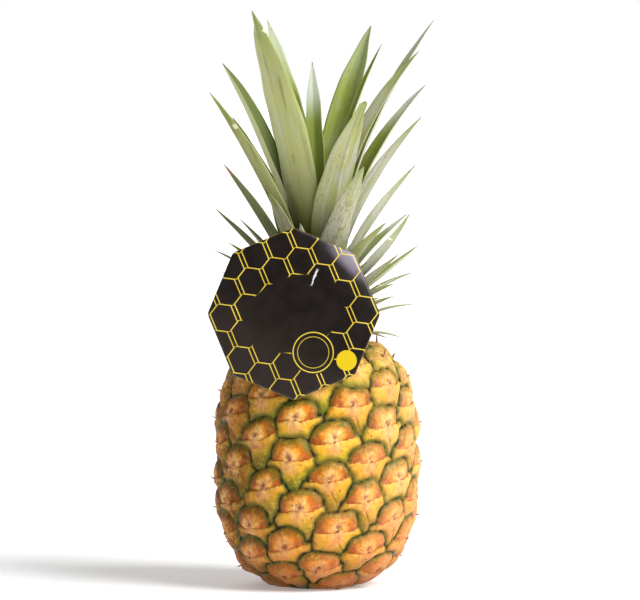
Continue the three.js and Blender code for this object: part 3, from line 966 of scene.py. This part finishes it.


# %% [markdown]
# ## The leaves' finish
#
# A pineapple leaf is a fibrous green blade under a silvery bloom of tiny scales, thickest on its back
# and easily rubbed off in patches. Its inner face is a cleaner, darker green, with painted shade down the
# middle of its channel, and its margins are pale. Near the stem it is a dull olive, near the tip it dries
# brown. A folded blade gets painted shade on one flank and painted light on the other.

# %% The leaves' finish
def make_leaf_finish():
    """The green of the blade, then its bloom, flanks of painted light and shade, scuffs, foot, scar and dry
    tip over it.
    """
    material, g, shader = new_material("crown leaf")
    blade = g.vector("blade")
    along, outer, side = g.value("along"), g.value("outer"), g.value("side")
    margin = g.maths("ABSOLUTE", side)
    outside = g.between(outer, -0.2, 0.2)
    bloom, warm, dark = g.value("bloom"), g.value("warm"), g.value("dark")
    streak = g.use(FIBRES, Place=blade, Count=1.1)
    long_place = g.stretch(blade, (1.0, 0.28, 1.0))
    patch = g.use(MOTTLE, Place=long_place, Size=4.5)
    wide_patch = g.use(MOTTLE, Place=long_place, Size=9.0)

    lanes = g.use(FIBRES, Place=blade, Count=0.3)
    back = g.mix(warm, tone(0.54, 0.57, 0.35), tone(0.77, 0.79, 0.52))
    front = g.mix(warm, tone(0.38, 0.44, 0.16), tone(0.70, 0.74, 0.34))
    # Painted shade: darker green down the middle of the inner face, in the blade's channel.
    front = g.mix(g.between(margin, 0.70, 0.30, 0.0, 0.4), front, tone(0.44, 0.52, 0.16))
    green = g.mix(outside, front, back)
    lane_tone = g.mix(outside, tone(0.50, 0.58, 0.24), tone(0.62, 0.61, 0.37))
    green = g.mix(g.times(lanes, 0.5), green, lane_tone)
    streak_tone = g.mix(outside, tone(0.42, 0.49, 0.18), tone(0.75, 0.76, 0.53))
    green = g.mix(g.times(streak, 0.35), green, streak_tone)
    green = g.mix(g.times(wide_patch, 0.22), green, tone(0.60, 0.64, 0.30))
    lines = g.times(g.between(lanes, 0.55, 0.95), g.between(wide_patch, 0.35, 0.75))
    lines = g.times(lines, g.plus(g.value("scuff"), 0.25))
    green = g.mix(g.times(lines, 0.8), green, tone(0.50, 0.46, 0.26))
    tip_green = g.times(g.between(along, 0.72, 0.97), 0.55)
    green = g.mix(tip_green, green, tone(0.50, 0.58, 0.22))
    pale_margin = g.times(g.between(margin, 0.84, 0.99), 0.6)
    green = g.mix(pale_margin, green, tone(0.76, 0.80, 0.50))

    cover = g.plus(g.times(patch, 0.75), g.times(streak, 0.25))
    cover = g.between(cover, g.minus(0.85, bloom), g.minus(1.55, bloom))
    cover = g.times(cover, g.between(outside, 0.0, 1.0, 0.25, 0.9))
    cover = g.times(cover, g.between(along, 0.97, 0.6, 0.25, 1.0))
    colour = g.mix(cover, green, g.mix(streak, tone(0.70, 0.70, 0.62), tone(0.83, 0.83, 0.77)))
    ghost = g.times(g.value("pale_tip"), g.between(along, 0.66, 0.86))
    colour = g.mix(ghost, colour, g.mix(streak, tone(0.74, 0.77, 0.70), tone(0.85, 0.87, 0.80)))

    # Painted shade on one flank of a folded blade and painted light on the other; the sign of flank picks the
    # side.
    turned = g.plus(g.times(side, g.value("flank")), g.times(patch, 0.05))
    strength = g.maths("ABSOLUTE", g.value("flank"))
    shade = g.times(g.between(turned, 0.02, 0.12), g.times(strength, strength))
    shade_tone = g.mix(g.between(along, 0.85, 0.2), tone(0.34, 0.40, 0.14), tone(0.14, 0.19, 0.05))
    colour = g.mix(g.times(shade, 0.9), colour, shade_tone)
    painted_light_flank = g.times(g.between(turned, 0.0, -0.15), strength)
    colour = g.mix(g.times(painted_light_flank, 0.6), colour, tone(0.84, 0.85, 0.66))
    colour = g.mix(g.times(dark, 0.9), colour, g.mix(lanes, tone(0.20, 0.23, 0.11), tone(0.36, 0.36, 0.25)))
    scuff = g.value("scuff")
    rubbed = g.noise(g.stretch(blade, (1.0, 0.45, 1.0)), 0.65, 6.0, 0.8)
    low = g.minus(0.66, g.times(scuff, 0.15))
    rubbed = g.between(rubbed, low, g.plus(low, 0.07))
    rubbed = g.times(rubbed, g.between(scuff, 0.0, 0.8, 0.3, 1.0))
    rubbed = g.times(rubbed, g.between(along, 0.95, 0.75))
    colour = g.mix(g.times(rubbed, 0.8), colour, g.mix(patch, tone(0.50, 0.45, 0.33), tone(0.68, 0.61, 0.52)))
    spots = g.use(FLECKS, Place=g.stretch(blade, (1.0, 0.5, 1.0)), Size=2.2, Share=0.45)
    colour = g.mix(g.times(spots, 0.45), colour, tone(0.42, 0.36, 0.20))

    foot = g.between(along, 0.5, 0.05)
    colour = g.mix(g.times(foot, 0.8), colour, g.mix(warm, tone(0.32, 0.33, 0.18), tone(0.40, 0.40, 0.20)))
    scar = g.maths("ABSOLUTE", g.minus(along, g.value("scar")))
    ragged = g.plus(scar, g.times(g.minus(patch, 0.5), 0.02))
    nick = g.times(g.between(ragged, 0.012, 0.003), g.between(margin, 0.3, 0.7))
    colour = g.mix(g.times(nick, 0.9), colour, tone(0.93, 0.92, 0.78))
    start_dry = g.minus(1.0, g.value("dry"))
    frayed = g.plus(along, g.times(g.minus(patch, 0.5), 0.03))
    withered = g.between(frayed, g.minus(start_dry, 0.02), g.plus(start_dry, 0.008))
    husk = g.mix(g.between(g.value("dry"), 0.045, 0.07), tone(0.45, 0.42, 0.26), tone(0.66, 0.40, 0.24))
    colour = g.mix(withered, colour, g.mix(streak, husk, tone(0.58, 0.48, 0.34)))
    g.feed(colour, shader.inputs["Base Color"])

    g.feed(g.between(cover, 0.0, 1.0, 0.52, 0.78), shader.inputs["Roughness"])
    shader.inputs["Specular IOR Level"].default_value = 0.18
    relief = g.plus(streak, g.times(patch, 0.5))
    g.feed(g.bump(relief, 0.4, 0.05), shader.inputs["Normal"])
    return material


LEAF_RNG = np.random.default_rng(21)
LEAF_FINISH = make_leaf_finish()
for leaf_name in LEAF_NODES:
    make_leaf(leaf_name, LEAF_FINISH, LEAF_RNG)
print("leaves built:", len(LEAF_NODES))

# %% [markdown]
# ## The dry tips of the eyes
#
# Each bract ends in a small dry point that stands up from the pinched middle of its eye. They are three
# to five millimetres long, and more at the shoulder, and give the fruit its prickly outline. Every tip
# is a little closed blade, thick at its root, and all of them are one piece. The lowest eyes have none,
# because the fruit stands on them.

# %% The dry tips of the eyes
TIP_STEPS = 6
TIP_AROUND = 6
LOWEST_TIP = 15
TIP_FLOOR = 0.2


def skin_point(number, x, rise, lift):
    """A point over eye number, x to the right and rise above its crease, lift out of the barrel."""
    turns, lengths, radii = SKIN["eyes"]
    radius, height, length = barrel_side(FINE_STEPS)
    at = lengths[number] + rise + crease_height(x)
    here, level = np.interp(at, length, radius), np.interp(at, length, height)
    ahead, above = np.interp(at + 1, length, radius), np.interp(at + 1, length, height)
    slope = np.arctan2(ahead - here, above - level)
    turn = turns[number] + x / radii[number]
    here, level = here + lift * np.cos(slope), level - lift * np.sin(slope)
    return np.array([here * np.cos(turn), here * np.sin(turn), max(level, TIP_FLOOR)])


def make_eye_tips(material):
    """A leaning, curling point on each eye, all in one mesh."""
    rng = np.random.default_rng(31)
    points, faces, along, top = [], [], [], SKIN["length"][-1]
    for number, length in enumerate(SKIN["eyes"][1]):
        if not LOWEST_TIP < length < top - 3:
            continue
        high = smoothstep(top - 45, top - 12, length)
        reach = rng.uniform(3.0, 5.2) + 2.5 * high
        lean = np.radians(rng.uniform(42, 78))
        wide = rng.uniform(1.1, 1.9) + 0.6 * high
        root_x, turn_aside = rng.uniform(-0.8, 0.8), rng.uniform(-0.35, 0.35)
        for step in np.linspace(0, 1, TIP_STEPS):
            curl = reach * np.sin(lean) * step**1.4
            centre = (root_x + turn_aside * reach * step, 0.2 + reach * np.cos(lean) * step, 0.5 + curl)
            half = wide * (1 - step) ** 0.8 + 0.08
            for corner in np.arange(TIP_AROUND) * 2 * np.pi / TIP_AROUND:
                x, thick = centre[0] + half * np.cos(corner), 0.5 * half * np.sin(corner)
                rise, lift = centre[1] - thick * np.sin(lean), centre[2] + thick * np.cos(lean)
                points.append(skin_point(number, x, rise, lift))
            along += [step] * TIP_AROUND
        first = len(points) - TIP_STEPS * TIP_AROUND
        faces += [[first + corner for corner in face] for face in ring_faces(TIP_STEPS, TIP_AROUND)]
    make_piece("eye_tips", points, faces, material, {"along": along})
    print("eye tips:", len(points) // (TIP_STEPS * TIP_AROUND), "with", len(faces), "faces")


def make_tip_finish():
    """Pinkish at the root, brown and dry towards the point."""
    material, g, shader = new_material("dry bract tip")
    place = g.place_mm()
    patch = g.use(MOTTLE, Place=place, Size=1.5)
    colour = g.ramp(
        g.value("along"),
        (0.0, tone(0.93, 0.68, 0.52)),
        (0.25, tone(0.80, 0.48, 0.36)),
        (0.55, tone(0.50, 0.24, 0.17)),
        (1.0, tone(0.22, 0.12, 0.08)),
    )
    g.feed(g.mix(g.times(patch, 0.35), colour, tone(0.90, 0.72, 0.58)), shader.inputs["Base Color"])
    g.feed(g.between(patch, 0.0, 1.0, 0.55, 0.8), shader.inputs["Roughness"])
    g.feed(g.bump(patch, 0.4, 0.3), shader.inputs["Normal"])
    return material


make_eye_tips(make_tip_finish())

# %% [markdown]
# ## The two stems
#
# Under the leaves the crown has a short pale stem, ringed by the scars of leaves that came away. Below,
# the fruit's own stalk is sawn off flush. It is a disc of straw-coloured fibres, whose ends show on the
# cut as dots. Both are turned shapes with a rough skin.

# %% The two stems
STEM_AROUND = 72


def make_turned(name, node, material, profile, roughness, seed):
    """A solid of revolution through the profile's radii and heights, roughened a little."""
    profile = np.array(profile)
    turn = np.arange(STEM_AROUND) * 2 * np.pi / STEM_AROUND
    radius, height = profile[:, :1], profile[:, 1:]
    rough = roughness * ripple(seed, turn[None, :], height * 6, 26) * smoothstep(0.5, 4, radius)
    inner = radius - np.abs(rough)
    level = np.broadcast_to(height, inner.shape)
    points = np.stack([inner * np.cos(turn), inner * np.sin(turn), level], axis=-1).reshape(-1, 3)
    piece = make_piece(name, points, ring_faces(len(profile), STEM_AROUND), material)
    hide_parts(node)


def stem_profile(node, rings):
    """Radii and heights up the outside of a packed turned piece, as it was measured."""
    points = node_points(node)
    radius, height = np.hypot(points[:, 0], points[:, 1]), points[:, 2]
    levels = np.unique(height.round(2))
    widest = np.array([radius[np.abs(height - level) < 0.02].max() for level in levels])
    fine = np.linspace(levels[0], levels[-1], rings)
    return np.interp(fine, levels, widest), fine


def make_stem_finish(name, light, dark, ends):
    """Straw-coloured fibres; on faces that point up or down the fibres' cut ends show as dots."""
    material, g, shader = new_material(name)
    place = g.place_mm()
    x, y, z = g.split(place)
    turn = g.times(g.maths("ARCTAN2", y, x), 14.0)
    streak = g.use(FIBRES, Place=g.join(turn, z, 3.0), Count=1.0)
    patch = g.use(MOTTLE, Place=place, Size=4.0)
    side = g.mix(streak, dark, light)
    side = g.mix(g.times(patch, 0.3), side, tone(0.55, 0.46, 0.30))
    dot = g.between(g.cells(place, 0.75), 0.22, 0.42)
    cut = g.mix(dot, ends, g.mix(patch, light, dark))
    upright = g.maths("ABSOLUTE", g.split(g.add("ShaderNodeNewGeometry").outputs["Normal"])[2])
    g.feed(g.mix(g.between(upright, 0.6, 0.9), side, cut), shader.inputs["Base Color"])
    g.feed(g.between(patch, 0.0, 1.0, 0.7, 0.9), shader.inputs["Roughness"])
    g.feed(g.bump(g.plus(streak, dot), 0.6, 0.4), shader.inputs["Normal"])
    return material


def make_crown_stem():
    """The crown's stem, ringed by leaf scars."""
    radius, height = stem_profile("crown_stem", 90)
    scars = 0.35 * (1 - np.abs(np.sin(height * 1.1)))
    profile = np.stack([np.maximum(radius - scars, 0.05), height], axis=1)
    tones = tone(0.82, 0.80, 0.60), tone(0.66, 0.62, 0.42), tone(0.50, 0.46, 0.30)
    finish = make_stem_finish("crown stem", *tones)
    make_turned("crown_stem_turned", "crown_stem", finish, profile, 0.25, 41)


def make_cut_stem():
    """The stalk's cut end, in its socket in the base."""
    radius, height = stem_profile("cut_stem", 24)
    rim = [(0.05, height[0])] + [(radius[0] * share, height[0]) for share in (0.3, 0.6, 0.85)]
    top = [(radius[-1] * share, height[-1]) for share in (0.6, 0.01)]
    profile = rim + list(zip(radius, height)) + top
    tones = tone(0.80, 0.68, 0.46), tone(0.60, 0.47, 0.28), tone(0.38, 0.27, 0.15)
    finish = make_stem_finish("cut stalk", *tones)
    make_turned("cut_stem_turned", "cut_stem", finish, profile, 0.15, 42)


make_crown_stem()
make_cut_stem()
print("stems built")

# %% [markdown]
# ## The card tag
#
# The tag is an octagon of coated card, nearly black, that stands close in front of the fruit, tilted a
# little, and falls back at its right upper corner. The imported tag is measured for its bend, and a finely
# divided card takes the same shape. Its print is a plain honeycomb of thin gold lines that leaves the
# middle bare, an empty ring and a plain yellow disc.

# %% The card tag
CARD = {"across_flats": 94.0, "corner": 4.0, "roll": np.radians(22.5), "lean": np.radians(7.0)}
CARD_CENTRE = np.array([-13.6, -54.6, 166.4])
CARD_THICK = 0.6
CARD_RINGS = 30
CARD_AROUND = 240


def octagon_reach(angle):
    """From the middle to the edge of an octagon with rounded corners; 0 is the middle of a flat."""
    flat, sector = CARD["across_flats"] / 2, np.pi / 4
    folded = np.abs((angle + sector / 2) % sector - sector / 2)
    corner_centre = (flat - CARD["corner"]) / np.cos(sector / 2)
    across = corner_centre * np.sin(sector / 2 - folded)
    arc = np.sqrt(np.maximum(CARD["corner"] ** 2 - across**2, 0))
    rounded = corner_centre * np.cos(sector / 2 - folded) + arc
    return np.where(across >= CARD["corner"] * np.sin(sector / 2), flat / np.cos(folded), rounded)


def card_axes():
    """The card's right, up and facing directions."""
    sin, cos = np.sin(CARD["lean"]), np.cos(CARD["lean"])
    return np.array([1.0, 0, 0]), np.array([0, sin, cos]), np.array([0, -cos, sin])


def bend_terms(right, up):
    """The terms of a smooth surface over the card, right and up in half widths."""
    return np.stack([right**a * up**b for a in range(6) for b in range(6 - a)], axis=-1)


def make_card(material):
    """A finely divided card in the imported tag's bend, its edge a little rounded."""
    right_way, up_way, facing = card_axes()
    packed = node_points("tag") - CARD_CENTRE
    right, up, out = packed @ right_way, packed @ up_way, packed @ facing
    half = CARD["across_flats"] / 2
    terms = bend_terms(right / half, up / half)
    is_front = np.ones(len(out), bool)
    for _ in range(3):
        fit = np.linalg.lstsq(terms[is_front], out[is_front], rcond=None)[0]
        is_front = out > terms @ fit - CARD_THICK / 2 * (0.2 if is_front.all() else 1)
    turn = np.arange(CARD_AROUND) * 2 * np.pi / CARD_AROUND
    shares = np.linspace(0, 1, CARD_RINGS) ** 0.8
    shares[0] = 0.004
    reach = octagon_reach(turn)[None, :] * shares[:, None]
    right, up = reach * np.cos(turn + CARD["roll"]), reach * np.sin(turn + CARD["roll"])
    level = bend_terms(right / half, up / half) @ fit

    def sheet(lift):
        """The card's points, lifted along its facing."""
        spot = right[..., None] * right_way + up[..., None] * up_way + (level + lift)[..., None] * facing
        return CARD_CENTRE + spot

    edge = CARD_THICK * 0.12
    face, rear = sheet(0.0), sheet(-CARD_THICK)
    face[-1] -= facing * edge
    rear[-1] += facing * edge
    points = np.concatenate([face, rear[::-1]])
    place = np.stack([right, up, np.ones(right.shape)], axis=-1)
    places = np.concatenate([place, place[::-1] * np.array([1, 1, -1])])
    rim = np.broadcast_to((octagon_reach(turn)[None, :] - reach), right.shape)
    rims = np.concatenate([rim, rim[::-1]])
    faces = ring_faces(len(points), CARD_AROUND)
    points = points.reshape(-1, 3)
    card = make_piece("card_tag", points, faces, material, {"rim": rims}, {"card": places})
    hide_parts("tag")
    print("card fitted within", np.abs(terms[is_front] @ fit - out[is_front]).max().round(2), "mm")


# %% [markdown]
# ## The card's print
#
# The honeycomb is worked out from the card's own measure: a hexagon is the meeting of three pairs of
# lines, so the distance to the nearest edge is the least of three. The upright edges are drawn twice,
# side by side. The coating is glossy; a painted highlight lies where the corner bends back, and a soft
# painted reflection lies over the lower left. It has cracked white in one place.

# %% The card's print
HONEYCOMB = {"side": 9.0, "line": 0.30, "gap": 1.2}
RING = {"right": 11.4, "up": -22.8, "radius": 11.8}
DISC = {"right": 31.0, "up": -27.5, "radius": 6.0}
CRACK = {"right": 12.2, "up": 21.5, "slope": 0.4}


def turned_place(g, right, up, angle):
    """Right and up in a frame that is turned by an angle."""
    cos, sin = float(np.cos(angle)), float(np.sin(angle))
    along = g.plus(g.times(right, cos), g.times(up, sin))
    across = g.minus(g.times(up, cos), g.times(right, sin))
    return along, across


def circle_distance(g, right, up, circle):
    """Distance from a circle's line, less than 0 inside it."""
    x = g.minus(right, circle["right"])
    y = g.minus(up, circle["up"])
    return g.minus(g.maths("SQRT", g.plus(g.times(x, x), g.times(y, y))), circle["radius"])


def hexagon_cell(g, along, across, shift):
    """Distances of a point from the middle of its cell, in one of the two grids of cell middles."""
    wide, tall = HONEYCOMB["side"] * float(np.sqrt(3)), HONEYCOMB["side"] * 3
    x = g.plus(along, shift * wide / 2)
    y = g.plus(across, shift * tall / 2)
    x = g.minus(x, g.times(g.maths("ROUND", g.maths("DIVIDE", x, wide)), wide))
    y = g.minus(y, g.times(g.maths("ROUND", g.maths("DIVIDE", y, tall)), tall))
    return g.maths("ABSOLUTE", x), g.maths("ABSOLUTE", y)


def honeycomb_line(g, right, up):
    """1 on the honeycomb's thin lines."""
    along, across = turned_place(g, right, up, CARD["roll"])
    flat = HONEYCOMB["side"] * float(np.sqrt(3)) / 2
    near_upright, near_slant = [], []
    for shift in (0, 1):
        x, y = hexagon_cell(g, along, across, shift)
        slant = g.plus(g.times(x, 0.5), g.times(y, float(np.sqrt(3)) / 2))
        near_upright.append(g.minus(flat, x))
        near_slant.append(g.minus(flat, slant))
    inside_first = g.maths("GREATER_THAN", g.maths("MINIMUM", near_upright[0], near_slant[0]), 0.0)

    def chosen(pair):
        """The value that belongs to the nearer hexagon."""
        first = g.times(pair[0], inside_first)
        return g.plus(first, g.times(pair[1], g.minus(1.0, inside_first)))

    upright, slanted = chosen(near_upright), chosen(near_slant)
    line = HONEYCOMB["line"]
    double = g.maths("ABSOLUTE", g.minus(upright, HONEYCOMB["gap"]))
    double = g.times(g.between(double, line + 0.1, line - 0.1), g.maths("GREATER_THAN", slanted, -0.1))
    beyond = g.maths("GREATER_THAN", upright, HONEYCOMB["gap"])
    single = g.times(g.between(slanted, line + 0.1, line - 0.1), beyond)
    return g.maths("MAXIMUM", double, single), along, across


def make_card_finish():
    """Print, wear, crack, a painted reflection and a painted highlight on the black front; plain board on the
    rear.
    """
    material, g, shader = new_material("coated card")
    right, up, face = g.split(g.vector("card"))
    front = g.between(face, -0.2, 0.2)
    rim = g.value("rim")
    line, along, across = honeycomb_line(g, right, up)
    away = g.maths("SQRT", g.plus(g.times(along, along), g.times(across, g.times(across, 2.2))))
    open_middle = g.between(away, 31.0, 33.0)
    ink = g.times(line, open_middle)
    ring_gap = circle_distance(g, right, up, RING)
    ink = g.times(ink, g.between(ring_gap, 0.8, 1.4))
    ring = g.between(g.maths("ABSOLUTE", ring_gap), 0.42, 0.22)
    inner = g.maths("ABSOLUTE", g.plus(ring_gap, 2.6))
    ring = g.maths("MAXIMUM", ring, g.times(g.between(inner, 0.30, 0.12), 0.8))
    place = g.vector("card")
    patch = g.use(MOTTLE, Place=place, Size=14.0)
    wear = g.use(FLECKS, Place=place, Size=6.0, Share=0.1)
    black = g.mix(patch, tone(0.07, 0.045, 0.03), tone(0.10, 0.07, 0.05))
    # Painted reflection: a soft lighter glare over the lower left of the black coating.
    painted_glare = g.between(g.plus(g.times(right, 0.6), up), 5.0, -45.0)
    black = g.mix(g.times(painted_glare, 0.35), black, tone(0.26, 0.22, 0.20))
    # Painted highlight: a lilac-grey band where the upper right corner bends back.
    corner = g.plus(g.times(right, 0.71), g.times(up, 0.71))
    beside = g.maths("ABSOLUTE", g.minus(g.times(up, 0.71), g.times(right, 0.71)))
    bent = g.times(g.between(corner, 38.5, 45.0), g.between(beside, 20.0, 3.0))
    black = g.mix(g.times(bent, 0.7), black, tone(0.56, 0.52, 0.58))
    gold = g.mix(patch, tone(0.78, 0.67, 0.20), tone(0.90, 0.80, 0.30))
    colour = g.mix(g.maths("MAXIMUM", ink, ring), black, gold)
    disc_gap = circle_distance(g, right, up, DISC)
    colour = g.mix(g.between(disc_gap, 0.12, -0.12), colour, tone(0.84, 0.72, 0.09))
    crack_right = g.plus(CRACK["right"], g.times(g.minus(up, CRACK["up"]), CRACK["slope"]))
    jag = g.times(g.minus(g.noise(place, 0.5, 3.0, 0.7), 0.5), 3.0)
    off = g.maths("ABSOLUTE", g.plus(g.minus(right, crack_right), jag))
    span = g.maths("ABSOLUTE", g.minus(up, CRACK["up"]))
    crack = g.times(g.between(span, 5.5, 3.5), g.between(off, 0.75, 0.3))
    colour = g.mix(g.times(crack, 0.9), colour, tone(0.90, 0.89, 0.88))
    colour = g.mix(g.times(wear, 0.2), colour, tone(0.5, 0.45, 0.4))
    colour = g.mix(g.between(rim, 0.35, 0.1, 0.0, 0.6), colour, tone(0.62, 0.54, 0.34))
    rear = g.mix(patch, tone(0.70, 0.67, 0.62), tone(0.76, 0.73, 0.68))
    g.feed(g.mix(front, rear, colour), shader.inputs["Base Color"])
    g.feed(g.between(patch, 0.0, 1.0, 0.26, 0.36), shader.inputs["Roughness"])
    shader.inputs["Specular IOR Level"].default_value = 0.22
    g.feed(g.times(front, 0.12), shader.inputs["Coat Weight"])
    shader.inputs["Coat Roughness"].default_value = 0.15
    g.feed(g.bump(g.noise(place, 0.12, 2.0, 0.5), 0.3, 0.6), shader.inputs["Normal"])
    return material


make_card(make_card_finish())

# %% [markdown]
# ## Sizes
#
# A finely made piece may stand a little out of the plain one that it replaces: the eyes' tips do. So the
# box of all the pieces is worked out.

# %% Sizes
def visual_bounds():
    """The lowest and the highest corner of the box round every piece, in metres."""
    corners = []
    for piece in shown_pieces():
        corners += [piece.matrix_world @ Vector(c) for c in piece.bound_box]
    corners = np.array([list(c) for c in corners])
    return corners.min(0).tolist(), corners.max(0).tolist()


bpy.context.view_layer.update()
VISUAL_LOW, VISUAL_HIGH = visual_bounds()
